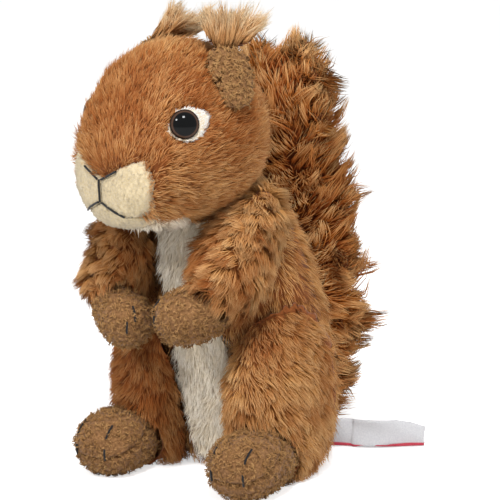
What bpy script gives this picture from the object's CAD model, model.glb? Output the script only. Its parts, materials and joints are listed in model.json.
"""Visual model of a sitting plush squirrel: pile fabrics, sewn face, safety eyes and label.

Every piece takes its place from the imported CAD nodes. Sizes are metres.
"""

import json
import logging
import math
from collections.abc import Callable, Sequence
from dataclasses import dataclass, field, replace
from enum import Enum

import bmesh
import bpy
import numpy as np
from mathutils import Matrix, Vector
from mathutils.bvhtree import BVHTree
from mathutils.kdtree import KDTree

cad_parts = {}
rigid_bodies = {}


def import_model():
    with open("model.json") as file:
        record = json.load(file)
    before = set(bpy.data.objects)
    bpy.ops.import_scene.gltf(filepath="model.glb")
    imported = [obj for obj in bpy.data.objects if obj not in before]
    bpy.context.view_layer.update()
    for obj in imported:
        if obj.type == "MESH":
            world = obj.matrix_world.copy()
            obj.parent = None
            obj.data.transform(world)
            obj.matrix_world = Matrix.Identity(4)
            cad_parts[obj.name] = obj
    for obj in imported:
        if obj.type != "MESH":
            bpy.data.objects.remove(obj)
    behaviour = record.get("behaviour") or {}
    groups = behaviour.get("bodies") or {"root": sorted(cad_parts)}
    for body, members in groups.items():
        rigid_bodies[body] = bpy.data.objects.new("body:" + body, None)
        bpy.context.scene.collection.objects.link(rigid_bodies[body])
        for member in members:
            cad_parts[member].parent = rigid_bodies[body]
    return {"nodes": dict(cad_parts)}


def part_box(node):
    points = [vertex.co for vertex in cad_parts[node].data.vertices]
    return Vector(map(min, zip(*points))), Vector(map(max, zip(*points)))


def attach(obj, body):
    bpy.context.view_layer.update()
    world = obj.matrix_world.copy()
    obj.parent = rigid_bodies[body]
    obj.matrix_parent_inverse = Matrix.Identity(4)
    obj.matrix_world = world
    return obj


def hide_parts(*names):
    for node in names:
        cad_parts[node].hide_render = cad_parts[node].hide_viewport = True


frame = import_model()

LOG = logging.getLogger("squirrel")
MM = 0.001
BAKE_MAP = "OFBake"
FIBRE_SIDES = 3
ROOT_DEPTH = 0.3 * MM  # how far a fibre starts under its fabric
MAP_FOOT, MAP_RUN = 0.03, 0.94  # where a fibre starts on the bake map, and how far it runs
EDGE_TONE = 0.012  # a fibre's width on the bake map
WORLD_UP = np.array((0.0, 0.0, 1.0))

Array = np.ndarray
Colour = tuple[float, float, float, float]


class Side(Enum):
    """The squirrel's own left and right, with the sign of X on each."""

    LEFT = 1
    RIGHT = -1

    def named(self, stem: str) -> str:
        """The CAD node's name on this side."""
        return f"{stem}_{self.name.lower()}"


# Numbers


def srgb(code: str) -> Colour:
    """A colour for a shader.

    Args:
        code: a hex sRGB colour.

    Returns:
        The same colour as linear RGBA.
    """
    parts = [int(code[i : i + 2], 16) / 255 for i in (1, 3, 5)]
    linear = [c / 12.92 if c <= 0.04045 else ((c + 0.055) / 1.055) ** 2.4 for c in parts]
    return (*linear, 1.0)


def unit(vectors: Array) -> Array:
    """Each row at length one."""
    return vectors / np.maximum(np.linalg.norm(vectors, axis=-1, keepdims=True), 1e-9)


def ripple(points: Array, wavelength: float, seed: int, waves: int = 7) -> Array:
    """A smooth value from about -1 to 1 at each point, wandering over one wavelength.

    Args:
        points: places, one to a row.
        wavelength: the distance from crest to crest.
        seed: which pattern.
        waves: how many plane waves are summed.

    Returns:
        One value for each point.
    """
    rng = np.random.default_rng(seed)
    ways = unit(rng.normal(size=(waves, 3))) * rng.uniform(0.6, 1.5, (waves, 1))
    phases = rng.uniform(0, 2 * math.pi, waves)
    waved = np.sin(points @ ways.T * (2 * math.pi / wavelength) + phases)
    return waved.sum(axis=1) / math.sqrt(waves) * 0.9


# Materials


def add_node(
    tree: bpy.types.NodeTree,
    kind: str,
    settings: dict | None = None,
    links: dict | None = None,
) -> bpy.types.Node:
    """One shader node with its settings and links.

    Args:
        tree: the material's node tree.
        kind: the node's type.
        settings: attribute or input name to value.
        links: input name or number to the output socket that feeds it.

    Returns:
        The node.
    """
    made = tree.nodes.new(kind)
    for name, value in (settings or {}).items():
        if name in made.inputs:
            made.inputs[name].default_value = value
        else:
            setattr(made, name, value)
    for name, source in (links or {}).items():
        tree.links.new(source, made.inputs[name])
    return made


def add_ramp(
    tree: bpy.types.NodeTree,
    source: bpy.types.NodeSocket,
    stops: Sequence[tuple[float, str]],
) -> bpy.types.NodeSocket:
    """A colour ramp over a value.

    Args:
        tree: the material's node tree.
        source: the value.
        stops: place and hex colour of each stop.

    Returns:
        The ramp's colour.
    """
    ramp = add_node(tree, "ShaderNodeValToRGB", links={"Fac": source})
    elements = ramp.color_ramp.elements
    while len(elements) < len(stops):
        elements.new(0.5)
    for element, (place, code) in zip(elements, stops):
        element.position = place
        element.color = srgb(code)
    return ramp.outputs["Color"]


def add_mix(
    tree: bpy.types.NodeTree,
    share: bpy.types.NodeSocket,
    first: bpy.types.NodeSocket,
    second: bpy.types.NodeSocket,
) -> bpy.types.NodeSocket:
    """Two colours mixed by a share.

    Args:
        tree: the material's node tree.
        share: 0 for the first colour, 1 for the second.
        first: the colour at 0.
        second: the colour at 1.

    Returns:
        The mixed colour.
    """
    mix = add_node(tree, "ShaderNodeMix", {"data_type": "RGBA"})
    tree.links.new(share, mix.inputs[0])
    tree.links.new(first, mix.inputs[6])
    tree.links.new(second, mix.inputs[7])
    return mix.outputs[2]


def set_input(shader: bpy.types.Node, name: str, value: float | Colour) -> None:
    """One input of a shader set to a plain value."""
    shader.inputs[name].default_value = value


@dataclass(frozen=True)
class PileFinish:
    """Fibres of a pile fabric, darker at the root, in tones from deep to pale."""

    name: str
    deep: tuple[str, str, str]
    pale: tuple[str, str, str]
    roughness: float = 0.62
    specular: float = 0.1

    def material(self) -> bpy.types.Material:
        """Dyed fibre: the map's V runs from root to tip and its U is the fibre's tone.

        Returns:
            The material.
        """
        material = bpy.data.materials.new(self.name)
        material.use_nodes = True
        tree = material.node_tree
        shader = tree.nodes["Principled BSDF"]
        set_input(shader, "Roughness", self.roughness)
        set_input(shader, "Specular IOR Level", self.specular)
        uv = add_node(tree, "ShaderNodeUVMap", {"uv_map": BAKE_MAP})
        split = add_node(tree, "ShaderNodeSeparateXYZ", links={"Vector": uv.outputs["UV"]})
        along = split.outputs["Y"]
        stops = (0.05, 0.50, 0.95)
        deep = add_ramp(tree, along, tuple(zip(stops, self.deep)))
        pale = add_ramp(tree, along, tuple(zip(stops, self.pale)))
        colour = add_mix(tree, split.outputs["X"], deep, pale)
        tree.links.new(colour, shader.inputs["Base Color"])
        return material


@dataclass(frozen=True)
class ClothFinish:
    """A short napped or woven fabric, in two tones with flecks, slightly raised."""

    name: str
    dark: str
    light: str
    grain: float
    fleck: str | None = None
    bump: float = 0.3
    roughness: float = 0.85
    sheen: float = 0.15

    def material(self) -> bpy.types.Material:
        """Fabric: noise at the grain's real size, in the colour and in the relief.

        Returns:
            The material.
        """
        material = bpy.data.materials.new(self.name)
        material.use_nodes = True
        tree = material.node_tree
        shader = tree.nodes["Principled BSDF"]
        set_input(shader, "Roughness", self.roughness)
        set_input(shader, "Specular IOR Level", 0.2)
        set_input(shader, "Sheen Weight", self.sheen)
        place = add_node(tree, "ShaderNodeTexCoord").outputs["Object"]
        noise = add_node(
            tree,
            "ShaderNodeTexNoise",
            {"Scale": 1 / self.grain, "Detail": 3.0, "Roughness": 0.6},
            {"Vector": place},
        ).outputs["Fac"]
        stops = [(0.32, self.dark), (0.66, self.light)]
        if self.fleck:
            stops.append((0.78, self.fleck))
        colour = add_ramp(tree, noise, stops)
        tree.links.new(colour, shader.inputs["Base Color"])
        raised = add_node(
            tree,
            "ShaderNodeBump",
            {"Strength": self.bump, "Distance": self.grain * 0.5},
            {"Height": noise},
        )
        tree.links.new(raised.outputs["Normal"], shader.inputs["Normal"])
        return material


@dataclass(frozen=True)
class EyeFinish:
    """A glossy moulded eye: a black pupil inside a brown ring."""

    name: str
    pupil: str
    ring: str
    rim: str
    pupil_radius: float
    ring_radius: float

    def material(self, centre: Vector, axis: Vector) -> bpy.types.Material:
        """Painted and clear-coated plastic, coloured by the distance from the eye's axis.

        Args:
            centre: a point on the eye's axis.
            axis: the way the eye looks.

        Returns:
            The material.
        """
        material = bpy.data.materials.new(self.name)
        material.use_nodes = True
        tree = material.node_tree
        shader = tree.nodes["Principled BSDF"]
        set_input(shader, "Roughness", 0.03)
        set_input(shader, "Specular IOR Level", 0.14)
        place = add_node(tree, "ShaderNodeTexCoord").outputs["Object"]
        kind = "ShaderNodeVectorMath"
        offset = add_node(tree, kind, {"operation": "SUBTRACT"}, {0: place}).outputs[0]
        offset.node.inputs[1].default_value = centre
        across = add_node(tree, kind, {"operation": "CROSS_PRODUCT"}, {0: offset}).outputs[0]
        across.node.inputs[1].default_value = axis
        reach = add_node(tree, kind, {"operation": "LENGTH"}, {0: across}).outputs["Value"]
        share = add_node(tree, "ShaderNodeMath", {"operation": "DIVIDE"}, {0: reach})
        share.inputs[1].default_value = self.ring_radius
        edge = self.pupil_radius / self.ring_radius
        stops = (
            (edge - 0.03, self.pupil),
            (edge + 0.03, self.ring),
            (0.86, self.ring),
            (0.97, self.rim),
        )
        colour = add_ramp(tree, share.outputs[0], stops)
        tree.links.new(colour, shader.inputs["Base Color"])
        return material


# Pieces from CAD nodes


def new_piece(
    name: str, mesh: bpy.types.Mesh, material: bpy.types.Material, slot: str
) -> bpy.types.Object:
    """A piece of the object, riding on its body.

    Args:
        name: the piece's name.
        mesh: its mesh, already in place.
        material: its material.
        slot: the record's slot for its finish.

    Returns:
        The object.
    """
    mesh.name = name
    mesh.materials.clear()
    mesh.materials.append(material)
    piece = bpy.data.objects.new(name, mesh)
    bpy.context.scene.collection.objects.link(piece)
    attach(piece, "root")
    LOG.info("%s", name)
    return piece


def smooth_mesh(bm: bmesh.types.BMesh, name: str) -> bpy.types.Mesh:
    """A smooth-shaded mesh.

    Args:
        bm: its shape, which is freed.
        name: the mesh's name.

    Returns:
        The mesh.
    """
    mesh = bpy.data.meshes.new(name)
    bm.to_mesh(mesh)
    bm.free()
    mesh.polygons.foreach_set("use_smooth", np.ones(len(mesh.polygons), dtype=bool))
    return mesh


@dataclass(frozen=True)
class Cloth:
    """A fabric: the finish of its fibres and its backing, and the record's slot for it."""

    fibres: bpy.types.Material
    backing: bpy.types.Material
    slot: str

    def stuff(self, node: str, bm: bmesh.types.BMesh, fill: float) -> bpy.types.Object:
        """A stuffed body of this fabric's backing, in place of a CAD node.

        Args:
            node: the CAD node.
            bm: the body's shape, which is freed.
            fill: how tightly it is filled, from 0 to 1.

        Returns:
            The body.
        """
        mesh = smooth_mesh(bm, node)
        body = new_piece(f"{node}_fabric", mesh, self.backing, self.slot)
        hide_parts(node)
        return body


def node_mesh(node: str) -> bmesh.types.BMesh:
    """A copy of a CAD node's mesh with its split corners merged.

    Args:
        node: the CAD node.

    Returns:
        The copy, for the caller to free.
    """
    bm = bmesh.new()
    bm.from_mesh(frame["nodes"][node].data)
    bmesh.ops.remove_doubles(bm, verts=bm.verts, dist=1e-6)
    return bm


def node_points(node: str) -> Array:
    """The corners of a CAD node's mesh, each once.

    Args:
        node: the CAD node.

    Returns:
        One corner to a row.
    """
    bm = node_mesh(node)
    points = np.array([tuple(vert.co) for vert in bm.verts])
    bm.free()
    return points


def node_tree(node: str) -> BVHTree:
    """A search tree over a CAD node's faces.

    Args:
        node: the CAD node.

    Returns:
        The tree.
    """
    bm = node_mesh(node)
    bmesh.ops.recalc_face_normals(bm, faces=bm.faces)
    tree = BVHTree.FromBMesh(bm)
    bm.free()
    return tree


def remeshed(bm: bmesh.types.BMesh, voxel: float) -> bmesh.types.BMesh:
    """The same shape as an even grid of quads.

    Args:
        bm: a closed shape, which is freed.
        voxel: the size of the quads.

    Returns:
        The even shape.
    """
    mesh = bpy.data.meshes.new("even")
    bm.to_mesh(mesh)
    bm.free()
    helper = bpy.data.objects.new("even", mesh)
    bpy.context.scene.collection.objects.link(helper)
    remesh = helper.modifiers.new("even", "REMESH")
    remesh.mode = "VOXEL"
    remesh.voxel_size = voxel
    graph = bpy.context.evaluated_depsgraph_get()
    result = bpy.data.meshes.new_from_object(helper.evaluated_get(graph))
    even = bmesh.new()
    even.from_mesh(result)
    bpy.data.objects.remove(helper)
    bpy.data.meshes.remove(mesh)
    bpy.data.meshes.remove(result)
    return even


def relax(bm: bmesh.types.BMesh, times: int) -> None:
    """Smooths a shape in place.

    Args:
        bm: the shape.
        times: how often.
    """
    for _ in range(times):
        bmesh.ops.smooth_vert(
            bm, verts=bm.verts, factor=0.5, use_axis_x=True, use_axis_y=True, use_axis_z=True
        )


def inset(bm: bmesh.types.BMesh, depth: float) -> None:
    """Moves every vertex in along its normal.

    Args:
        bm: the shape.
        depth: how far, and outward where it is less than nothing.
    """
    bm.normal_update()
    moves = [(vert, vert.normal * depth) for vert in bm.verts]
    for vert, move in moves:
        vert.co -= move


@dataclass(frozen=True)
class Hide:
    """The stuffed fabric body under a pile: how finely meshed, how far in, how smooth.

    height is the share of the node's height that the body keeps, and clearance the least
    distance between the body and the floor.
    """

    voxel: float
    depth: float
    smoothing: int = 6
    height: float = 1.0
    clearance: float = 0.2 * MM

    def shape(self, node: str) -> bmesh.types.BMesh:
        """A body for a CAD node.

        Args:
            node: the CAD node.

        Returns:
            The node's shape, even, rounded and drawn in by the pile's depth.
        """
        bm = remeshed(node_mesh(node), self.voxel)
        relax(bm, self.smoothing)
        steps = max(1, math.ceil(self.depth / self.voxel))
        for _ in range(steps):
            inset(bm, self.depth / steps)
            relax(bm, 1)
        low = min(vert.co.z for vert in bm.verts)
        for vert in bm.verts:
            vert.co.z = max(low + (vert.co.z - low) * self.height, self.clearance)
        return bm


# Pile


@dataclass(frozen=True)
class Pile:
    """How a fabric's fibres stand: sizes in metres, angles in degrees from upright.

    ground_light is how far each fibre is shaded like the fabric that it grows on.
    """

    count: int
    length: float
    width: float
    lean: tuple[float, float]
    lock: float
    gather: float
    segments: int = 2
    length_spread: float = 0.18
    lock_spread: float = 0.15
    swirl: float = 18.0
    swirl_length: float = 0.018
    stray: float = 12.0
    lock_stray: float = 10.0
    standing: bool = True
    ground_light: float = 0.8


@dataclass(frozen=True)
class ToneByHeight:
    """Tone that a fabric gains or loses by height: 0 at its CAD node's foot, 1 at its top."""

    node: str
    heights: tuple[float, ...]
    tones: tuple[float, ...]

    def at(self, roots: Array) -> Array:
        """The tone to add to each fibre.

        Args:
            roots: where the fibres grow.

        Returns:
            One tone for each fibre.
        """
        low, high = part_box(self.node)
        up = (roots[:, 2] - low[2]) / (high[2] - low[2])
        return np.interp(up, self.heights, self.tones)


@dataclass(frozen=True)
class Tone:
    """A fabric's tone from 0, deep, to 1, pale, and how it varies."""

    middle: float = 0.5
    patches: float = 0.16
    patch_length: float = 0.016
    locks: float = 0.14
    fibres: float = 0.10
    by_height: ToneByHeight | None = None

    def at(self, roots: Array, lock_of: Array, rng: np.random.Generator) -> Array:
        """The tone of each fibre.

        Args:
            roots: where the fibres grow.
            lock_of: each fibre's lock number.
            rng: the fabric's random numbers.

        Returns:
            One tone for each fibre, inside the map.
        """
        seed = int(rng.integers(1, 10_000))
        tone = self.middle + self.patches * ripple(roots, self.patch_length, seed)
        tone += self.locks * rng.normal(size=lock_of.max() + 1)[lock_of]
        tone += self.fibres * rng.normal(size=len(roots))
        if self.by_height:
            tone += self.by_height.at(roots)
        return np.clip(tone, 0.04, 0.96)


class Comb:
    """The way a pile is brushed, as one direction at each root."""

    def ways(self, roots: Array) -> Array:
        """One direction for each root, not yet laid along the surface."""
        raise NotImplementedError


@dataclass(frozen=True)
class CombAlong(Comb):
    """Brushed one way all over."""

    way: tuple[float, float, float]

    def ways(self, roots: Array) -> Array:
        """The same direction at each root."""
        return np.tile(unit(np.array(self.way)), (len(roots), 1))


@dataclass(frozen=True)
class CombFrom(Comb):
    """Brushed away from a point, with a drift added."""

    origin: tuple[float, float, float]
    drift: tuple[float, float, float] = (0.0, 0.0, 0.0)

    def ways(self, roots: Array) -> Array:
        """Away from the point at each root."""
        return unit(roots - np.array(self.origin)) + np.array(self.drift)


@dataclass(frozen=True)
class CombPath(Comb):
    """Brushed along a limb's middle line, from its first stop to its last."""

    stops: tuple[tuple[float, float, float], ...]

    def ways(self, roots: Array) -> Array:
        """The direction of the limb beside each root.

        Args:
            roots: where the fibres grow.

        Returns:
            One direction for each root.
        """
        total = np.zeros_like(roots)
        stops = np.array(self.stops)
        for start, end in zip(stops[:-1], stops[1:]):
            run = end - start
            share = np.clip((roots - start) @ run / (run @ run), 0, 1)
            reach = np.linalg.norm(roots - (start + share[:, None] * run), axis=1)
            total += unit(run) / (reach[:, None] + 1 * MM) ** 3
        return unit(total)


@dataclass(frozen=True)
class CombBrush(Comb):
    """A tail's pile: outward from its core, rising more toward its top."""

    core: tuple[float, float]
    heights: tuple[float, ...]
    rises: tuple[float, ...]

    def ways(self, roots: Array) -> Array:
        """Up or down by the root's height, and out from the core.

        Args:
            roots: where the fibres grow.

        Returns:
            One direction for each root.
        """
        out = roots - np.array((*self.core, 0.0))
        out[:, 2] = 0.0
        rise = np.interp(roots[:, 2], self.heights, self.rises)
        return unit(out) * 0.6 + rise[:, None] * WORLD_UP


def scatter(mesh: bpy.types.Mesh, count: int, rng: np.random.Generator) -> tuple:
    """Even random places on a mesh.

    Args:
        mesh: a closed mesh.
        count: how many places.
        rng: random numbers.

    Returns:
        The places and the smooth normals there.
    """
    mesh.calc_loop_triangles()
    corners = np.empty(len(mesh.loop_triangles) * 3, dtype=np.int64)
    mesh.loop_triangles.foreach_get("vertices", corners)
    corners = corners.reshape(-1, 3)
    places = np.empty(len(mesh.vertices) * 3)
    mesh.vertices.foreach_get("co", places)
    places = places.reshape(-1, 3)
    normals = np.empty(len(mesh.vertices) * 3)
    mesh.vertices.foreach_get("normal", normals)
    normals = normals.reshape(-1, 3)
    a, b, c = (places[corners[:, i]] for i in range(3))
    areas = np.linalg.norm(np.cross(b - a, c - a), axis=1)
    chosen = rng.choice(len(corners), size=count, p=areas / areas.sum())
    first, second = rng.random((2, count, 1))
    fold = first + second > 1
    first, second = np.where(fold, 1 - first, first), np.where(fold, 1 - second, second)
    shares = (1 - first - second, first, second)
    where = sum(s * places[corners[chosen, i]] for i, s in enumerate(shares))
    facing = sum(s * normals[corners[chosen, i]] for i, s in enumerate(shares))
    return where, unit(facing)


def fibre_form(segments: int) -> tuple:
    """The form every fibre of a pile shares: closed, pointed at both ends.

    Args:
        segments: how many lengths it bends in.

    Returns:
        Its triangles by vertex number, and each vertex's ring and side.
    """
    bm = bmesh.new()
    rows = [[bm.verts.new((0, 0, 0))]]
    for ring in range(1, segments):
        angles = [2 * math.pi * side / FIBRE_SIDES for side in range(FIBRE_SIDES)]
        rows.append([bm.verts.new((math.cos(a), math.sin(a), ring)) for a in angles])
    rows.append([bm.verts.new((0, 0, segments))])
    for low, high in zip(rows[:-1], rows[1:]):
        for side in range(FIBRE_SIDES):
            after = (side + 1) % FIBRE_SIDES
            if len(low) == 1:
                bm.faces.new((low[0], high[after], high[side]))
            elif len(high) == 1:
                bm.faces.new((low[side], low[after], high[0]))
            else:
                bm.faces.new((low[side], low[after], high[after]))
                bm.faces.new((low[side], high[after], high[side]))
    bm.verts.index_update()
    triangles = np.array([[v.index for v in f.verts] for f in bm.faces])
    bm.free()
    rings = [0] + [r for r in range(1, segments) for _ in range(FIBRE_SIDES)] + [segments]
    sides = [0] + list(range(FIBRE_SIDES)) * (segments - 1) + [0]
    return triangles, np.array(rings), np.array(sides)


def drawn(
    roots: Array, normals: Array, tangents: Array, lengths: Array, pile: Pile, lean: Array
) -> Array:
    """The bent middle line of each fibre.

    Args:
        roots: where the fibres grow.
        normals: upright at each root.
        tangents: the brushed direction along the surface.
        lengths: each fibre's length.
        pile: the fabric's pile.
        lean: degrees added to each fibre's lean.

    Returns:
        Points by fibre and by node along it.
    """
    nodes = [roots - normals * ROOT_DEPTH]
    step = (lengths / pile.segments)[:, None]
    for segment in range(pile.segments):
        share = (segment + 0.5) / pile.segments
        angle = pile.lean[0] + (pile.lean[1] - pile.lean[0]) * share + lean
        angle = np.radians(angle)[:, None]
        nodes.append(nodes[-1] + (normals * np.cos(angle) + tangents * np.sin(angle)) * step)
    return np.stack(nodes, axis=1)


def turned(tangents: Array, normals: Array, degrees: Array) -> Array:
    """Tangents turned about their normals."""
    angle = np.radians(degrees)[:, None]
    return tangents * np.cos(angle) + np.cross(normals, tangents) * np.sin(angle)


def reach_of(tree: BVHTree, points: Array) -> Array:
    """Signed distance from each point to a closed mesh.

    Args:
        tree: the mesh's search tree.
        points: places, one to a row.

    Returns:
        One distance for each point, less than nothing inside.
    """
    result = np.empty(len(points))
    for index, point in enumerate(points):
        near, normal, _, distance = tree.find_nearest(point)
        behind = (Vector(point) - near).dot(normal) < 0
        result[index] = -distance if behind else distance
    return result


def near_box(points: Array, node: str, margin: float) -> Array:
    """Which points lie in a CAD node's box.

    Args:
        points: places, one to a row.
        node: the CAD node.
        margin: how far the box is widened.

    Returns:
        True or false for each point.
    """
    corners = np.array([tuple(v.co) for v in frame["nodes"][node].data.vertices])
    low, high = corners.min(axis=0) - margin, corners.max(axis=0) + margin
    return np.all((points > low) & (points < high), axis=1)


@dataclass
class PileCoat:
    """A pile grown on one fabric piece, as closed tapering fibres.

    No fibre grows where a neighbour hides it by more than sunk, on bare panels, or well
    inside the edge of the panels that the pile laps over. Tips over clear pieces are cut
    short.
    """

    name: str
    pile: Pile
    comb: Comb
    tone: Tone
    cloth: Cloth
    seed: int
    hidden_in: tuple[str, ...] = ()
    sunk: float = 2.5 * MM
    bare: tuple[str, ...] = ()
    bare_margin: float = 0.6 * MM
    lapped: tuple[str, ...] = ()
    lap: float = 1.35 * MM
    clear: tuple[str, ...] = ()
    clear_margin: float = 0.4 * MM
    lap_depth: float = 1.5 * MM
    trim: float = 0.6
    floor: float = 2 * MM
    keep: Callable[[Array, Array], Array] | None = None
    trees: dict[str, BVHTree] = field(default_factory=dict)

    def build(self, ground: bpy.types.Mesh, lift: float) -> bpy.types.Object:
        """Grows the pile.

        Args:
            ground: the fabric it grows on.
            lift: how far the pile's top stands over the fabric.

        Returns:
            The piece.
        """
        rng = np.random.default_rng(self.seed)
        roots, normals = scatter(ground, self.pile.count, rng)
        kept = self.open_roots(roots, normals, lift)
        roots, normals = roots[kept], normals[kept]
        lines, lock_of = self.lines(roots, normals, rng)
        lines = self.trimmed(lines)
        tones = self.tone.at(roots, lock_of, rng)
        mesh = self.spun(lines, normals, tones, rng)
        LOG.info("%s: %d fibres", self.name, len(roots))
        return new_piece(self.name, mesh, self.cloth.fibres, self.cloth.slot)

    def open_roots(self, roots: Array, normals: Array, lift: float) -> Array:
        """Which roots aren't covered by a neighbour or a bare panel.

        Args:
            roots: where the fibres would grow.
            normals: upright at each root.
            lift: how far the pile's top stands over the fabric.

        Returns:
            True or false for each root.
        """
        kept = roots[:, 2] > self.floor
        if self.keep:
            kept &= self.keep(roots, normals)
        tops = roots + normals * lift
        middles = tops - normals * self.lap_depth
        for nodes, points, reach in (
            (self.hidden_in, tops, -self.sunk),
            (self.bare, tops, self.bare_margin),
            (self.lapped, middles, -self.lap),
        ):
            for node in nodes:
                close = np.flatnonzero(kept & near_box(points, node, max(reach, 0.0)))
                inside = reach_of(self.tree(node), points[close]) < reach
                kept[close[inside]] = False
        return kept

    def tree(self, node: str) -> BVHTree:
        """A CAD node's search tree, made once.

        Args:
            node: the CAD node.

        Returns:
            The tree.
        """
        if node not in self.trees:
            self.trees[node] = node_tree(node)
        return self.trees[node]

    def lines(self, roots: Array, normals: Array, rng: np.random.Generator) -> tuple:
        """Each fibre's middle line, drawn into its lock.

        Args:
            roots: where the fibres grow.
            normals: upright at each root.
            rng: the fabric's random numbers.

        Returns:
            The lines, and each fibre's lock number.
        """
        pile = self.pile
        count = len(roots)
        ways = self.comb.ways(roots)
        tangents = ways - normals * np.sum(ways * normals, axis=1, keepdims=True)
        tangents = unit(tangents + 1e-5)
        if not pile.standing:
            tangents = unit(normals - ways * np.sum(ways * normals, axis=1, keepdims=True))
            normals = unit(ways)
        swirl = pile.swirl * ripple(roots, pile.swirl_length, self.seed + 1)
        tangents = turned(tangents, normals, swirl)
        lock_of, heads = self.locks(roots, rng)
        size = 1 + pile.lock_spread * rng.normal(size=len(heads))
        size = np.clip(size, 0.6, 1.5)
        turn = pile.lock_stray * rng.normal(size=len(heads))
        lean = 0.5 * pile.lock_stray * rng.normal(size=len(heads))
        head_lines = drawn(
            roots[heads],
            normals[heads],
            turned(tangents[heads], normals[heads], turn),
            pile.length * size,
            pile,
            lean,
        )
        lengths = pile.length * size[lock_of] * (1 + pile.length_spread * rng.normal(size=count))
        lengths = np.clip(lengths, 0.35 * pile.length, 1.6 * pile.length)
        own = drawn(
            roots,
            normals,
            turned(tangents, normals, turn[lock_of] + pile.stray * rng.normal(size=count)),
            lengths,
            pile,
            lean[lock_of] + 0.5 * pile.stray * rng.normal(size=count),
        )
        share = (np.arange(pile.segments + 1) / pile.segments) ** 1.3
        pull = pile.gather * share[None, :, None] * rng.uniform(0.75, 1.0, (count, 1, 1))
        return own + (head_lines[lock_of] - own) * pull, lock_of

    def locks(self, roots: Array, rng: np.random.Generator) -> tuple:
        """Groups the fibres round scattered heads.

        Args:
            roots: where the fibres grow.
            rng: the fabric's random numbers.

        Returns:
            Each fibre's lock number, and the heads' fibre numbers.
        """
        order = rng.permutation(len(roots))
        cells: dict[tuple, int] = {}
        keys = np.floor(roots / self.pile.lock).astype(int)
        for index in order:
            cells.setdefault(tuple(keys[index]), int(index))
        heads = np.array(list(cells.values()))
        finder = KDTree(len(heads))
        for number, index in enumerate(heads):
            finder.insert(roots[index], number)
        finder.balance()
        wander = roots + rng.normal(size=roots.shape) * self.pile.lock * 0.15
        lock_of = np.array([finder.find(point)[1] for point in wander])
        return lock_of, heads

    def trimmed(self, lines: Array) -> Array:
        """Cuts short the fibres whose tips would lie on a piece that is kept clear.

        Args:
            lines: middle lines by fibre and node, changed in place.

        Returns:
            The lines.
        """
        for node in self.clear:
            for _ in range(2):
                tips = lines[:, -1]
                close = np.flatnonzero(near_box(tips, node, self.clear_margin))
                if len(close) == 0:
                    continue
                reach = reach_of(self.tree(node), tips[close])
                over = close[reach < self.clear_margin]
                lines[over] = lines[over, :1] + (lines[over] - lines[over, :1]) * self.trim
        return lines

    def spun(
        self, lines: Array, normals: Array, tones: Array, rng: np.random.Generator
    ) -> bpy.types.Mesh:
        """One mesh holding every fibre.

        Args:
            lines: middle lines by fibre and node.
            normals: upright at each root.
            tones: each fibre's tone.
            rng: the fabric's random numbers.

        Returns:
            The mesh, with its bake map and soft normals.
        """
        pile = self.pile
        triangles, rings, sides = fibre_form(pile.segments)
        count, per = len(lines), len(rings)
        lines[..., 2] = np.maximum(lines[..., 2], pile.width)
        run = unit(lines[:, -1] - lines[:, 0])
        across = unit(np.cross(run, normals) + 1e-6)
        above = np.cross(run, across)
        girths = np.sin(np.pi * np.linspace(0, 1, pile.segments + 1) ** 0.7)
        girths = girths * 0.5 * pile.width
        phase = rng.uniform(0, 2 * math.pi, (count, 1))
        angles = phase + sides[None, :] * (2 * math.pi / FIBRE_SIDES)
        scale = rng.uniform(0.7, 1.3, (count, 1)) * girths[rings][None, :]
        around = across[:, None] * (np.cos(angles) * scale)[..., None]
        around += above[:, None] * (np.sin(angles) * scale)[..., None]
        places = lines[:, rings] + around
        faces = (np.arange(count)[:, None, None] * per + triangles).reshape(-1, 3)
        mesh = bpy.data.meshes.new(self.name)
        mesh.vertices.add(count * per)
        mesh.vertices.foreach_set("co", places.ravel())
        mesh.loops.add(faces.size)
        mesh.loops.foreach_set("vertex_index", faces.ravel())
        mesh.polygons.add(len(faces))
        mesh.polygons.foreach_set("loop_start", np.arange(0, faces.size, 3))
        mesh.polygons.foreach_set("use_smooth", np.ones(len(faces), dtype=bool))
        mesh.update(calc_edges=True)
        along = MAP_FOOT + MAP_RUN * rings / pile.segments
        beside = tones[:, None] + (sides - 1)[None, :] * EDGE_TONE * (girths[rings] > 0)
        chart = np.stack([beside, np.tile(along, (count, 1))], axis=-1).reshape(-1, 2)
        layer = mesh.uv_layers.new(name=BAKE_MAP)
        layer.data.foreach_set("uv", chart[faces.ravel()].ravel())
        soft = unit(normals[:, None] * pile.ground_light + unit(around + 1e-9) * 0.5)
        mesh.normals_split_custom_set_from_vertices(soft.reshape(-1, 3))
        return mesh


@dataclass
class FurredPiece:
    """A stuffed fabric piece and the pile on it, in place of its CAD node."""

    node: str
    hide: Hide
    coat: PileCoat
    fill: float = 0.8

    def build(self) -> bpy.types.Object:
        """Makes the fabric body and grows its pile.

        Returns:
            The body.
        """
        body = self.coat.cloth.stuff(self.node, self.hide.shape(self.node), self.fill)
        self.coat.build(body.data, self.hide.depth)
        return body


# Knobbly and napped fabrics


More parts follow.
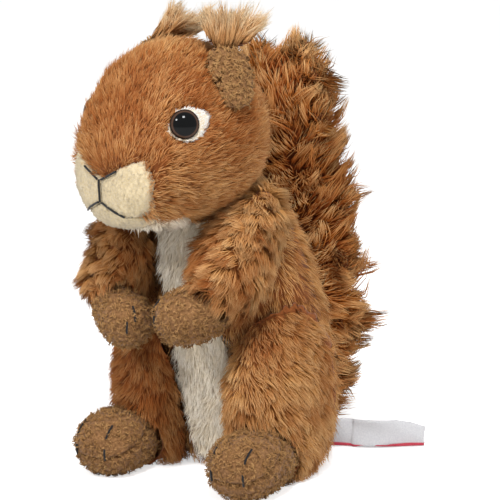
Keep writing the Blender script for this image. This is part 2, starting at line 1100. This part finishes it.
@dataclass
class LoopedPiece:
    """A stuffed piece of looped fabric: a body of small knobs with curls over it.

    seam_height is the sole seam's height at the front, and nothing where there is none.
    """

    node: str
    curls: PileCoat
    voxel: float = 0.55 * MM
    smoothing: int = 4
    knob: float = 1.7 * MM
    knob_height: float = 0.55 * MM
    drawn_in: float = 0.0
    seam_height: float = 0.0
    seam_rise: float = 0.42
    seam_depth: float = 1.5 * MM
    seam_width: float = 0.9 * MM
    seam_bare: float = 0.8
    fill: float = 0.85
    seed: int = 5

    def build(self) -> bpy.types.Object:
        """Makes the knobbly body and its curls.

        Returns:
            The body.
        """
        bm = remeshed(node_mesh(self.node), self.voxel * 2)
        relax(bm, self.smoothing)
        inset(bm, self.drawn_in)
        bmesh.ops.subdivide_edges(bm, edges=bm.edges, cuts=1, use_grid_fill=True, smooth=0.5)
        relax(bm, 1)
        bm.normal_update()
        self.raise_knobs(bm)
        body = self.curls.cloth.stuff(self.node, bm, self.fill)
        if self.seam_height:
            self.curls.keep = self.off_seam
        self.curls.build(body.data, 0.0)
        return body

    def seam_reach(self, places: Array) -> Array:
        """How far above the sole seam each place lies.

        Args:
            places: points, one to a row.

        Returns:
            One distance for each place, in seam widths.
        """
        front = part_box(self.node)[0][1]
        level = self.seam_height + self.seam_rise * (places[:, 1] - front)
        return (places[:, 2] - level) / self.seam_width

    def off_seam(self, roots: Array, normals: Array) -> Array:
        """Which roots stand clear of the seam."""
        return np.abs(self.seam_reach(roots)) > self.seam_bare

    def raise_knobs(self, bm: bmesh.types.BMesh) -> None:
        """Rounds a knob over each scattered point, and sinks the sole seam.

        Args:
            bm: the body's shape.
        """
        rng = np.random.default_rng(self.seed)
        verts = list(bm.verts)
        places = np.array([tuple(v.co) for v in verts])
        cells: dict[tuple, int] = {}
        for index in rng.permutation(len(verts)):
            key = tuple(np.floor(places[index] / self.knob).astype(int))
            cells.setdefault(key, int(index))
        finder = KDTree(len(cells))
        for index in cells.values():
            finder.insert(places[index], index)
        finder.balance()
        reach = self.seam_reach(places)
        for vert, off in zip(verts, reach):
            _, _, distance = finder.find(vert.co)
            height = max(0.0, 1 - (distance / (self.knob * 0.75)) ** 2) * self.knob_height
            if self.seam_height:
                height -= self.seam_depth * math.exp(-off * off)
            vert.co += vert.normal * (height - 0.5 * self.knob_height)
            vert.co.z = max(vert.co.z, 0.1 * MM)


@dataclass
class NappedPiece:
    """A small panel of short-napped fabric, slightly plumped."""

    node: str
    nap: PileCoat
    voxel: float = 0.9 * MM
    plump: float = 0.0
    fill: float = 0.6
    creases: tuple[tuple[float, float], ...] = ((7 * MM, 0.22 * MM), (2.2 * MM, 0.07 * MM))

    def crease(self, bm: bmesh.types.BMesh) -> None:
        """Raises soft creases, each a wavelength and a height.

        Args:
            bm: the panel's shape.
        """
        bm.normal_update()
        places = np.array([tuple(v.co) for v in bm.verts])
        rise = sum(
            high * ripple(places, wave, seed) for seed, (wave, high) in enumerate(self.creases)
        )
        for vert, up in zip(list(bm.verts), rise):
            vert.co += vert.normal * up

    def build(self) -> bpy.types.Object:
        """Makes the panel and its nap.

        Returns:
            The panel.
        """
        bm = remeshed(node_mesh(self.node), self.voxel)
        relax(bm, 3)
        bmesh.ops.subdivide_edges(bm, edges=bm.edges, cuts=1, use_grid_fill=True, smooth=0.5)
        inset(bm, -self.plump)
        self.crease(bm)
        body = self.nap.cloth.stuff(self.node, bm, self.fill)
        self.nap.build(body.data, 0.0)
        return body


# Stage


@dataclass(frozen=True)
class Studio:
    """A white sweep of floor, soft lights and the camera."""

    azimuth: float = 33.0
    elevation: float = 10.5
    distance: float = 0.85
    look_at: tuple[float, float, float] = (0.0, 0.0, 0.09)
    lens: float = 145.656
    shift: tuple[float, float] = (0.0240006, 0.0027476)
    surround: float = 0.44

    def build(self) -> None:
        """Sets the view, the floor, the lights and the camera."""
        scene = bpy.context.scene
        scene.view_settings.view_transform = "Standard"
        self.add_floor()
        self.add_world()
        self.add_light("key", (0.36, -0.52, 0.94), 0.20, 7.4)
        self.add_light("side", (-0.16, -0.82, 0.64), 0.14, 3.8)
        self.add_light("fill", (0.95, -0.10, 0.55), 0.60, 3.0).visible_glossy = False
        self.add_camera()

    def add_floor(self) -> None:
        """A pale matt floor."""
        bm = bmesh.new()
        bmesh.ops.create_grid(bm, x_segments=1, y_segments=1, size=6.0)
        mesh = bpy.data.meshes.new("floor")
        bm.to_mesh(mesh)
        bm.free()
        mesh.materials.append(self.floor_paint())
        floor = bpy.data.objects.new("floor", mesh)
        bpy.context.scene.collection.objects.link(floor)

    def floor_paint(self) -> bpy.types.Material:
        """Matt floor paint, white to seen rays, with the toy's shadow kept.

        Returns:
            The material.
        """
        material = bpy.data.materials.new("matt_floor_paint")
        material.use_nodes = True
        tree = material.node_tree
        shader = tree.nodes["Principled BSDF"]
        set_input(shader, "Base Color", srgb("#F6F6F6"))
        set_input(shader, "Roughness", 0.9)
        set_input(shader, "Specular IOR Level", 0.0)
        set_input(shader, "Emission Color", (1.0, 1.0, 1.0, 1.0))
        tree.links.new(self.seen_rays(tree, 0.0, 0.60), shader.inputs["Emission Strength"])
        return material

    def seen_rays(
        self, tree: bpy.types.NodeTree, other: float, seen: float
    ) -> bpy.types.NodeSocket:
        """One value for camera, glossy and transmitted rays and another for the rest.

        Args:
            tree: the node tree.
            other: the value for the rest.
            seen: the value for seen rays.

        Returns:
            The value.
        """
        path = add_node(tree, "ShaderNodeLightPath")
        total = path.outputs["Is Camera Ray"]
        for name in ("Is Glossy Ray", "Is Transmission Ray"):
            total = add_node(
                tree,
                "ShaderNodeMath",
                {"operation": "MAXIMUM"},
                {0: total, 1: path.outputs[name]},
            ).outputs[0]
        ranged = add_node(
            tree, "ShaderNodeMapRange", {"To Min": other, "To Max": seen}, {"Value": total}
        )
        return ranged.outputs["Result"]

    def add_world(self) -> None:
        """White all round, plainer in what it lights than in what the camera sees."""
        world = bpy.data.worlds.new("studio")
        world.use_nodes = True
        bpy.context.scene.world = world
        tree = world.node_tree
        back = tree.nodes["Background"]
        tree.links.new(self.seen_rays(tree, self.surround, 1.0), back.inputs["Strength"])
        set_input(back, "Color", (1.0, 1.0, 1.0, 1.0))

    def add_light(
        self, name: str, place: tuple, size: float, watts: float
    ) -> bpy.types.Object:
        """One soft square light aimed at the squirrel.

        Args:
            name: the light's name.
            place: where it hangs.
            size: its side.
            watts: its power.

        Returns:
            The light's object.
        """
        light = bpy.data.lights.new(name, "AREA")
        light.size = size
        light.energy = watts
        lamp = bpy.data.objects.new(name, light)
        lamp.location = place
        aim = Vector(place) - Vector(self.look_at)
        lamp.rotation_euler = aim.to_track_quat("Z", "Y").to_euler()
        bpy.context.scene.collection.objects.link(lamp)
        return lamp

    def add_camera(self) -> None:
        """The camera at the photo's angle and framing."""
        turn, tilt = math.radians(self.azimuth), math.radians(self.elevation)
        out = Vector(
            (
                math.sin(turn) * math.cos(tilt),
                -math.cos(turn) * math.cos(tilt),
                math.sin(tilt),
            )
        )
        camera = bpy.data.cameras.new("view")
        camera.sensor_width = 36.0
        camera.lens = self.lens
        camera.shift_x, camera.shift_y = self.shift
        holder = bpy.data.objects.new("view", camera)
        holder.location = Vector(self.look_at) + out * self.distance
        holder.rotation_euler = out.to_track_quat("Z", "Y").to_euler()
        bpy.context.scene.collection.objects.link(holder)
        bpy.context.scene.camera = holder


# The squirrel


@dataclass(frozen=True)
class Fabrics:
    """Every fabric and thread of the toy."""

    russet: Cloth
    long_russet: Cloth
    pale_tipped: Cloth
    white: Cloth
    felt: Cloth
    cream: Cloth
    boucle: Cloth
    thread: bpy.types.Material
    satin: bpy.types.Material
    red_thread: bpy.types.Material


def make_fabrics() -> Fabrics:
    """The fabrics, with colours read off the toy by eye.

    Returns:
        Every fabric and thread.
    """
    # Dyed polyester pile: deep red-brown at the roots, golden where the tips catch the light.
    russet = PileFinish(
        "russet_pile_dyed_polyester",
        ("#57260D", "#88461B", "#A96A36"),
        ("#96602C", "#C78F53", "#E2B984"),
    )
    # Longer pile, dyed darker, with bleached tips that draw each lock.
    long_russet = PileFinish(
        "long_russet_pile_dyed_polyester",
        ("#3E1304", "#7A360C", "#BC7A3C"),
        ("#743A10", "#B87230", "#F0CB92"),
    )
    # The same pile bleached along most of its length, nearly cream at the tips.
    pale_tipped = PileFinish(
        "pale_tipped_pile_polyester",
        ("#7C4A20", "#AD7440", "#CB9C68"),
        ("#A87444", "#D6A670", "#F0DAB4"),
    )
    # Undyed pile: warm white, a little yellow between the fibres.
    white = PileFinish(
        "white_pile_polyester",
        ("#DAC39C", "#EEDDBF", "#F8ECD6"),
        ("#E9D7B9", "#F9EEDB", "#FEF8EC"),
    )
    # Pressed felt: a clean cool white with a fuzzy edge.
    felt = PileFinish(
        "white_felt_nap",
        ("#CFC8BE", "#E0DAD1", "#EDE9E2"),
        ("#E2DDD5", "#F0EDE8", "#F9F8F5"),
    )
    # Short upright velour: cream, with fine grain and no shine.
    cream = PileFinish(
        "cream_velour_pile",
        ("#AC9A7C", "#BEAF93", "#CBBFA7"),
        ("#BDAD90", "#D0C2A9", "#DDD3C0"),
    )
    # Boucle: curled brown loops that sparkle pale over a dark knobbly ground.
    loops = PileFinish(
        "brown_boucle_loops",
        ("#5C3C21", "#7E5833", "#926B42"),
        ("#866039", "#A67E50", "#BF9866"),
    )
    # Knitted backings, seen only as a dull colour between the fibres.
    russet_knit = ClothFinish("russet_knit_backing", "#6E3815", "#8A4F24", 3 * MM)
    long_knit = ClothFinish("long_pile_knit_backing", "#552609", "#6F3A14", 4 * MM).material()
    white_knit = ClothFinish("white_knit_backing", "#D8C6A8", "#E6D8C0", 3 * MM).material()
    cream_knit = ClothFinish("cream_velour_cloth", "#BDAA86", "#D2C19F", 1.2 * MM)
    looped_knit = ClothFinish(
        "brown_boucle_cloth", "#644325", "#8E6741", 1.1 * MM, fleck="#A9845B", bump=0.5
    )
    # Spun thread and woven ribbon, their grain drawn coarser than real so that it shows.
    thread = ClothFinish(
        "black_polyester_thread", "#0B0A0B", "#1B191A", 0.3 * MM, bump=0.5, roughness=0.7
    )
    satin = ClothFinish(
        "white_satin_ribbon", "#C3C3C7", "#D1D1D3", 0.6 * MM, bump=0.2, roughness=0.42
    )
    red_thread = ClothFinish(
        "red_edge_thread", "#A23140", "#C84555", 0.4 * MM, bump=0.4, roughness=0.6
    )
    return Fabrics(
        russet=Cloth(russet.material(), russet_knit.material(), "russet_pile"),
        long_russet=Cloth(long_russet.material(), long_knit, "long_russet_pile"),
        pale_tipped=Cloth(pale_tipped.material(), long_knit, "long_russet_pile"),
        white=Cloth(white.material(), white_knit, "white_pile"),
        felt=Cloth(felt.material(), white_knit, "white_felt"),
        cream=Cloth(cream.material(), cream_knit.material(), "cream_velour"),
        boucle=Cloth(loops.material(), looped_knit.material(), "brown_boucle"),
        thread=thread.material(),
        satin=satin.material(),
        red_thread=red_thread.material(),
    )


@dataclass
class Workshop:
    """What every sub-assembly shares: the fabrics and the CAD nodes' search trees."""

    fabrics: Fabrics
    trees: dict[str, BVHTree] = field(default_factory=dict)

    def coat(
        self,
        name: str,
        pile: Pile,
        comb: Comb,
        tone: Tone,
        cloth: Cloth,
        seed: int,
        **edges: float | tuple[str, ...],
    ) -> PileCoat:
        """A pile coat that uses the shared search trees.

        Args:
            name: the coat's piece name.
            pile: how its fibres stand.
            comb: how it is brushed.
            tone: how its colour varies.
            cloth: its fabric.
            seed: its random numbers.
            **edges: the coat's fields on where it stops, such as hidden_in, bare and sunk.

        Returns:
            The coat.
        """
        return PileCoat(name, pile, comb, tone, cloth, seed, trees=self.trees, **edges)


def middle_of(node: str) -> Vector:
    """The middle of a CAD node's box."""
    low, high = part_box(node)
    return (Vector(low) + Vector(high)) / 2


def slice_middle(node: str, low: float, high: float) -> tuple[float, float, float]:
    """The middle of a CAD node between two shares of its height.

    Args:
        node: the CAD node.
        low: the lower share.
        high: the upper share.

    Returns:
        The middle of its corners there.
    """
    places = np.array([tuple(v.co) for v in frame["nodes"][node].data.vertices])
    floor, rise = places[:, 2].min(), np.ptp(places[:, 2])
    band = (places[:, 2] >= floor + low * rise) & (places[:, 2] <= floor + high * rise)
    return tuple(places[band].mean(axis=0))


LIMBS = tuple(side.named(stem) for side in Side for stem in ("leg", "arm", "paw", "foot"))
BODY_DOWN = CombAlong((0.0, 0.25, -1.0))
STUFFED = Hide(2 * MM, 2.6 * MM)
STRIP = Hide(1.2 * MM, 1.0 * MM, 2)


@dataclass
class Trunk:
    """The stuffed torso with its white belly strip."""

    shop: Workshop
    seam_depth: float = 8 * MM
    russet_pile: Pile = Pile(
        count=22500, length=6.6 * MM, width=0.31 * MM, lean=(38, 76), lock=3.6 * MM, gather=0.34
    )
    white_pile: Pile = Pile(
        count=11000, length=5.0 * MM, width=0.31 * MM, lean=(38, 78), lock=3.0 * MM, gather=0.22
    )

    def build(self) -> None:
        """Builds the torso and the strip."""
        coat = self.shop.coat(
            "torso_pile",
            self.russet_pile,
            BODY_DOWN,
            Tone(0.68, patches=0.2, patch_length=0.024),
            self.shop.fabrics.russet,
            11,
            sunk=self.seam_depth,
            hidden_in=("head", "tail", *LIMBS),
            bare=("belly_panel",),
        )
        FurredPiece("torso", STUFFED, coat).build()
        coat = self.shop.coat(
            "belly_pile",
            self.white_pile,
            BODY_DOWN,
            Tone(0.6),
            self.shop.fabrics.white,
            15,
            hidden_in=("torso", "head", *LIMBS),
        )
        FurredPiece("belly_panel", STRIP, coat, fill=0.5).build()


@dataclass
class Head:
    """The head, its white throat, cream muzzle and chin."""

    shop: Workshop
    hide: Hide = Hide(2 * MM, 1.1 * MM)
    plump: float = 0.3 * MM
    pile: Pile = Pile(
        count=22500,
        length=5.4 * MM,
        width=0.30 * MM,
        lean=(44, 80),
        lock=2.8 * MM,
        gather=0.3,
        swirl=24,
        stray=12,
    )
    throat_pile: Pile = Pile(
        count=4000, length=5.5 * MM, width=0.32 * MM, lean=(34, 76), lock=3.0 * MM, gather=0.4
    )
    nap: Pile = Pile(
        count=4200,
        length=0.9 * MM,
        width=0.30 * MM,
        lean=(25, 60),
        lock=0.9 * MM,
        gather=0.3,
        lock_stray=40,
        stray=30,
    )
    # paler toward the jaw and along the crown
    shade: ToneByHeight = ToneByHeight("head", (0.25, 0.55, 0.8, 1.0), (0.16, -0.06, -0.12, 0.12))

    def build(self) -> None:
        """Builds the head's fabric pieces."""
        nose = tuple(middle_of("nose_stitch_centre"))
        FurredPiece("head", self.hide, self.coat("head_pile", 12, nose)).build()
        under = self.coat("head_pile_under", 13, nose)
        under.build(bpy.data.objects["head_fabric"].data, self.hide.depth)
        coat = self.shop.coat(
            "throat_pile",
            self.throat_pile,
            CombAlong((0.0, 0.6, -1.0)),
            Tone(0.6),
            self.shop.fabrics.white,
            14,
            hidden_in=("torso", "head"),
        )
        FurredPiece("throat_panel", STRIP, coat, fill=0.5).build()
        for number, node in enumerate(("muzzle_left", "muzzle_right", "chin")):
            nap = self.shop.coat(
                f"{node}_nap",
                self.nap,
                CombFrom(nose),
                Tone(0.5),
                self.shop.fabrics.cream,
                60 + number,
            )
            NappedPiece(node, nap, plump=self.plump).build()

    def coat(self, name: str, seed: int, nose: tuple[float, float, float]) -> PileCoat:
        """One of the head's two coats, brushed back from the nose.

        Args:
            name: the coat's piece name.
            seed: its random numbers.
            nose: the middle of the nose.

        Returns:
            The coat.
        """
        return self.shop.coat(
            name,
            self.pile,
            CombFrom(nose, (0.0, 0.3, 0.0)),
            Tone(0.34, patches=0.28, patch_length=0.026, locks=0.12, by_height=self.shade),
            self.shop.fabrics.russet,
            seed,
            hidden_in=("torso", "arm_left", "arm_right", "ear_left", "ear_right"),
            sunk=1.5 * MM,
            bare=("chin", "throat_panel"),
            lapped=("muzzle_left", "muzzle_right", "eye_patch_left", "eye_patch_right"),
            clear=("eye_left", "eye_right"),
        )


@dataclass
class Eye:
    """A safety eye on its white almond patch, fur lapping over the patch's edge."""

    shop: Workshop
    side: Side
    radius: float = 5.75 * MM
    dome: float = 2.6 * MM
    skirt: float = 0.9 * MM
    rounding: float = 0.35 * MM
    pupil: float = 0.80
    sunk: float = 0.7 * MM
    steps: int = 48
    rows: int = 14
    nap: Pile = Pile(
        count=2600,
        length=1.4 * MM,
        width=0.22 * MM,
        lean=(25, 65),
        lock=1.2 * MM,
        gather=0.3,
        lock_stray=30,
        stray=25,
    )

    def build(self) -> None:
        """Builds the patch with its nap, and the eye."""
        patch, node = self.side.named("eye_patch"), self.side.named("eye")
        nap = self.shop.coat(
            f"{patch}_nap",
            self.nap,
            CombFrom(tuple(middle_of("nose_stitch_centre"))),
            Tone(0.7),
            self.shop.fabrics.felt,
            70 + self.side.value,
            hidden_in=("head",),
            bare=(node,),
            clear=(node,),
            clear_margin=0.3 * MM,
        )
        NappedPiece(patch, nap, plump=-self.sunk).build()
        # Moulded plastic, painted behind: a black pupil in a thin brown ring, highly polished.
        finish = EyeFinish(
            self.side.named("gloss_plastic_eye"),
            "#040505",
            "#4A3427",
            "#0C0806",
            self.radius * self.pupil,
            self.radius,
        )
        material = finish.material(*self.seat())
        eye = new_piece(f"{node}_dome", self.lens(), material, "black_brown_plastic")
        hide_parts(node)

    def seat(self) -> tuple[Vector, Vector]:
        """Where the eye sits, from its CAD node and its washer's.

        Returns:
            The foot of the dome on the eye's axis, and the way that the eye looks.
        """
        places = node_points(self.side.named("eye"))
        middle = places.mean(axis=0)
        axis = unit(middle - node_points(self.side.named("eye_washer")).mean(axis=0))
        top = ((places - middle) @ axis).max()
        return Vector(middle + axis * (top - self.dome)), Vector(axis)

    def lens(self) -> bpy.types.Mesh:
        """The dome: a spherical cap with a rounded rim and a short skirt.

        Returns:
            The mesh.
        """
        foot, axis = self.seat()
        ball = (self.radius**2 + self.dome**2) / (2 * self.dome)
        reach = math.asin(min(1.0, (self.radius - self.rounding) / ball))
        profile = [(0.0, -self.skirt), (self.radius, -self.skirt), (self.radius, 0.0)]
        for row in range(self.rows + 1):
            angle = reach * (1 - row / self.rows)
            profile.append((ball * math.sin(angle), ball * math.cos(angle) - ball + self.dome))
        bm = bmesh.new()
        verts = [bm.verts.new((out, 0.0, up)) for out, up in profile]
        edges = [bm.edges.new(pair) for pair in zip(verts[:-1], verts[1:])]
        bmesh.ops.spin(
            bm,
            geom=verts + edges,
            axis=(0, 0, 1),
            cent=(0, 0, 0),
            angle=2 * math.pi,
            steps=self.steps,
            use_merge=True,
        )
        bmesh.ops.remove_doubles(bm, verts=bm.verts, dist=1e-6)
        bmesh.ops.recalc_face_normals(bm, faces=bm.faces)
        turn = axis.to_track_quat("Z", "Y").to_matrix().to_4x4()
        bmesh.ops.transform(bm, matrix=turn, verts=bm.verts)
        bmesh.ops.translate(bm, vec=foot, verts=bm.verts)
        return smooth_mesh(bm, "dome")


@dataclass
class LoopedPart:
    """An ear, paw or foot of brown looped fabric."""

    shop: Workshop
    node: str
    curl_count: int
    seed: int
    voxel: float = 0.6 * MM
    smoothing: int = 4
    drawn_in: float = 0.0
    seam_height: float = 0.0
    curls: Pile = Pile(
        count=1,
        length=2.7 * MM,
        width=0.45 * MM,
        lean=(10, 165),
        lock=1.5 * MM,
        gather=0.5,
        segments=3,
        lock_stray=120,
        stray=30,
        swirl=180,
        swirl_length=5 * MM,
        ground_light=0.6,
    )

    def build(self) -> None:
        """Builds the part."""
        curls = self.shop.coat(
            f"{self.node}_curls",
            replace(self.curls, count=self.curl_count),
            CombAlong((0.0, 0.0, -1.0)),
            Tone(0.5, patches=0.1, locks=0.15, fibres=0.10),
            self.shop.fabrics.boucle,
            self.seed,
            hidden_in=("leg_left", "leg_right", "arm_left", "arm_right", "head"),
            sunk=1.0 * MM,
            floor=0.5 * MM,
        )
        LoopedPiece(
            self.node,
            curls,
            voxel=self.voxel,
            smoothing=self.smoothing,
            drawn_in=self.drawn_in,
            seam_height=self.seam_height,
        ).build()


@dataclass
class EarTuft:
    """The fan of long pile at an ear's tip."""

    shop: Workshop
    side: Side
    way: tuple[float, float, float]
    spread: float = 8 * MM
    hide: Hide = Hide(1.0 * MM, 2.4 * MM, 4, height=0.35)
    pile: Pile = Pile(
        count=3000,
        length=13.0 * MM,
        width=0.31 * MM,
        lean=(0, 40),
        lock=2.6 * MM,
        gather=0.6,
        segments=3,
        lock_stray=10,
        stray=8,
        length_spread=0.2,
        lock_spread=0.22,
        standing=False,
        ground_light=0.1,
    )

    def build(self) -> None:
        """Grows the tuft from a low mound at the foot of its CAD node."""
        node = self.side.named("ear_tuft")
        foot = Vector(slice_middle(node, 0.0, 0.25))
        origin = foot - Vector(self.way).normalized() * self.spread
        coat = self.shop.coat(
            f"{node}_pile",
            self.pile,
            CombFrom(tuple(origin), tuple(0.3 * Vector(self.way))),
            Tone(0.88, locks=0.14),
            self.shop.fabrics.pale_tipped,
            40 + self.side.value,
        )
        FurredPiece(node, self.hide, coat, fill=0.3).build()


@dataclass
class Arm:
    """An arm of russet pile, combed from the shoulder to the paw."""

    shop: Workshop
    side: Side
    hide: Hide = Hide(1.8 * MM, 3.4 * MM)
    pile: Pile = Pile(
        count=17000,
        length=8.5 * MM,
        width=0.33 * MM,
        lean=(32, 72),
        lock=4.0 * MM,
        gather=0.55,
        lock_stray=20,
        swirl=26,
    )

    def build(self) -> None:
        """Builds the arm, paler at its shoulder and deeper at its wrist."""
        node, paw = self.side.named("arm"), self.side.named("paw")
        stops = (
            slice_middle(node, 0.8, 1.0),
            slice_middle(node, 0.1, 0.4),
            tuple(middle_of(paw)),
        )
        shade = ToneByHeight(node, (0.1, 0.45, 0.85), (-0.20, -0.16, 0.16))
        coat = self.shop.coat(
            f"{node}_pile",
            self.pile,
            CombPath(stops),
            Tone(0.54, patches=0.22, patch_length=0.02, locks=0.16, by_height=shade),
            self.shop.fabrics.russet,
            30 + self.side.value,
            hidden_in=("torso", "head", paw, self.side.named("leg")),
        )
        FurredPiece(node, self.hide, coat).build()


@dataclass
class Leg:
    """A haunch of russet pile, combed down and back; the right one's pile lies deeper."""

    shop: Workshop
    side: Side
    seam_depth: float = 8 * MM
    tones: dict[Side, float] = field(default_factory=lambda: {Side.LEFT: 0.58, Side.RIGHT: 0.14})
    foot_tones: dict[Side, float] = field(
        default_factory=lambda: {Side.LEFT: 0.26, Side.RIGHT: 0.6}
    )
    pile: Pile = Pile(
        count=21500, length=6.6 * MM, width=0.31 * MM, lean=(38, 76), lock=3.6 * MM, gather=0.34
    )

    def build(self) -> None:
        """Builds the haunch, paler toward the floor and deeper under the arm."""
        node, sign = self.side.named("leg"), self.side.value
        tones = (self.foot_tones[self.side], 0.0, -0.02, -0.2)
        shade = ToneByHeight(node, (0.05, 0.4, 0.7, 1.0), tones)
        coat = self.shop.coat(
            f"{node}_pile",
            self.pile,
            CombAlong((0.25 * sign, 0.45, -1.0)),
            Tone(self.tones[self.side], patches=0.2, patch_length=0.024, by_height=shade),
            self.shop.fabrics.russet,
            20 + sign,
            sunk=self.seam_depth,
            hidden_in=("torso", self.side.named("foot"), self.side.named("arm"), "tail"),
        )
        FurredPiece(node, STUFFED, coat).build()


@dataclass
class Tail:
    """The tall brush: a thick under pile with long pointed locks over it."""

    shop: Workshop
    hide: Hide = Hide(2.2 * MM, 6.5 * MM, 8)
    under: Pile = Pile(
        count=21000, length=10.0 * MM, width=0.53 * MM, lean=(20, 66), lock=6.0 * MM, gather=0.45
    )
    over: Pile = Pile(
        count=14500,
        length=16.0 * MM,
        width=0.54 * MM,
        lean=(14, 66),
        lock=8.0 * MM,
        gather=0.72,
        segments=3,
        length_spread=0.12,
        lock_stray=26,
        lock_spread=0.2,
        stray=8,
        swirl=38,
    )
    heights: tuple[float, ...] = (0.0, 0.05, 0.10, 0.15, 0.19)
    rises: tuple[float, ...] = (-0.3, 0.0, 0.3, 0.9, 2.0)
    # deepest at its middle
    shade: ToneByHeight = ToneByHeight("tail", (0.1502, 0.5960, 0.9860), (0.06, -0.12, 0.08))

    def build(self) -> None:
        """Builds the brush."""
        FurredPiece("tail", self.hide, self.coat("tail_under_pile", self.under, 17)).build()
        over = self.coat("tail_over_pile", self.over, 16)
        over.build(bpy.data.objects["tail_fabric"].data, self.hide.depth)

    def coat(self, name: str, pile: Pile, seed: int) -> PileCoat:
        """One of the tail's two coats.

        Args:
            name: the coat's piece name.
            pile: how its fibres stand.
            seed: its random numbers.

        Returns:
            The coat.
        """
        low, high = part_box("tail")
        core = ((low[0] + high[0]) / 2, (low[1] + high[1]) / 2)
        return self.shop.coat(
            name,
            pile,
            CombBrush(core, self.heights, self.rises),
            Tone(0.38, locks=0.22, fibres=0.06, by_height=self.shade),
            self.shop.fabrics.long_russet,
            seed,
            hidden_in=("torso", "head", "leg_left", "leg_right"),
            sunk=5 * MM,
        )


@dataclass
class SewnLabel:
    """The satin strip in the back seam, bare, with a red thread along its lower edge."""

    shop: Workshop
    length: float = 50 * MM
    height: float = 12.2 * MM
    thickness: float = 0.35 * MM
    edge_low: float = 0.5 * MM
    edge_high: float = 1.1 * MM
    edge_proud: float = 0.2 * MM
    sway: float = 0.5 * MM
    columns: int = 72
    rows: int = 8
    smoothing: int = 12

    def stations(self) -> tuple[Array, Array]:
        """The strip's course, read off its CAD node.

        Returns:
            Its middle line, and its upper edge's height at each column.
        """
        places = np.array([tuple(v.co) for v in frame["nodes"]["label"].data.vertices])
        middle = places[:, :2].mean(axis=0)
        way = np.linalg.svd(places[:, :2] - middle)[2][0]
        way = way if way[0] > 0 else -way
        shares = np.round((places[:, :2] - middle) @ way, 4)
        keys = np.unique(shares)
        line = np.array([places[shares == key, :2].mean(axis=0) for key in keys])
        tops = np.array([places[shares == key, 2].max() for key in keys])
        where = np.linspace(0, 1, self.columns + 1)
        known = np.linspace(0, 1, len(keys))
        line = np.stack([np.interp(where, known, line[:, i]) for i in range(2)], axis=1)
        tops = np.interp(where, known, tops)
        for _ in range(self.smoothing):
            line[1:-1] = (line[:-2] + 2 * line[1:-1] + line[2:]) / 4
        return line, tops

    def strip(self, name: str, low: float, high: Array, thickness: float) -> bpy.types.Mesh:
        """A closed strip standing on the label's line.

        Args:
            name: the mesh's name.
            low: its lower edge's height.
            high: its upper edge's height at each column.
            thickness: across both faces.

        Returns:
            The mesh.
        """
        line, _ = self.stations()
        bm = bmesh.new()
        bmesh.ops.create_grid(bm, x_segments=self.columns, y_segments=self.rows, size=0.5)
        for vert in bm.verts:
            column = round((vert.co.x + 0.5) * self.columns)
            share = vert.co.y + 0.5
            height = low + (high[column] - low) * share
            sway = self.sway * math.sin(5 * share + 9 * column / self.columns)
            vert.co = (line[column, 0], line[column, 1] + sway, height)
        bmesh.ops.recalc_face_normals(bm, faces=bm.faces)
        bmesh.ops.solidify(bm, geom=list(bm.faces), thickness=thickness)
        bmesh.ops.recalc_face_normals(bm, faces=bm.faces)
        return smooth_mesh(bm, name)

    def build(self) -> None:
        """Builds the strip and its red edge."""
        fabrics = self.shop.fabrics
        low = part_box("label")[0][2]
        _, tops = self.stations()
        mesh = self.strip("label_satin", low, tops, self.thickness)
        label = new_piece("label_satin", mesh, fabrics.satin, "white_satin")
        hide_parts("label")
        high = np.full(self.columns + 1, low + self.edge_high)
        thickness = self.thickness + self.edge_proud
        mesh = self.strip("label_edge", low + self.edge_low, high, thickness)
        edge = new_piece("label_edge", mesh, fabrics.red_thread, "white_satin")


@dataclass
class Stitching:
    """The black thread on the face, paws and feet."""

    shop: Workshop

    def build(self) -> None:
        """Repaints the threads' CAD nodes, which keep their shapes, and smooths their shading."""
        for name in frame["nodes"]:
            if "stitch" in name or "claw" in name:
                mesh = frame["nodes"][name].data
                mesh.materials.clear()
                mesh.materials.append(self.shop.fabrics.thread)
                flags = np.ones(len(mesh.polygons), dtype=bool)
                mesh.polygons.foreach_set("use_smooth", flags)


def note_size() -> None:
    heavy = {}
    for piece in bpy.context.scene.objects:
        if piece.type == "MESH" and not piece.hide_render:
            heavy[piece.name] = sum(len(face.vertices) - 2 for face in piece.data.polygons)
    LOG.info("%d triangles, at most %d in a piece", sum(heavy.values()), max(heavy.values()))


def main() -> None:
    """Builds the toy and its studio."""
    logging.basicConfig(level=logging.INFO, format="%(message)s")
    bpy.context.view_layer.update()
    shop = Workshop(make_fabrics())
    Trunk(shop).build()
    Head(shop).build()
    for side in Side:
        sign = side.value
        Leg(shop, side).build()
        Arm(shop, side).build()
        Eye(shop, side).build()
        ear, paw, foot = (side.named(stem) for stem in ("ear", "paw", "foot"))
        LoopedPart(
            shop, ear, 2400, 54 + sign, voxel=0.5 * MM, smoothing=2, drawn_in=0.8 * MM
        ).build()
        LoopedPart(shop, paw, 4300, 57 + sign).build()
        LoopedPart(shop, foot, 6800, 60 + sign, seam_height=8.5 * MM).build()
    EarTuft(shop, Side.LEFT, (0.1, 0.15, 1.0)).build()
    EarTuft(shop, Side.RIGHT, (0.55, 0.35, 0.75)).build()
    Tail(shop).build()
    SewnLabel(shop).build()
    Stitching(shop).build()
    Studio().build()
    note_size()


if __name__ == "__main__":
    main()
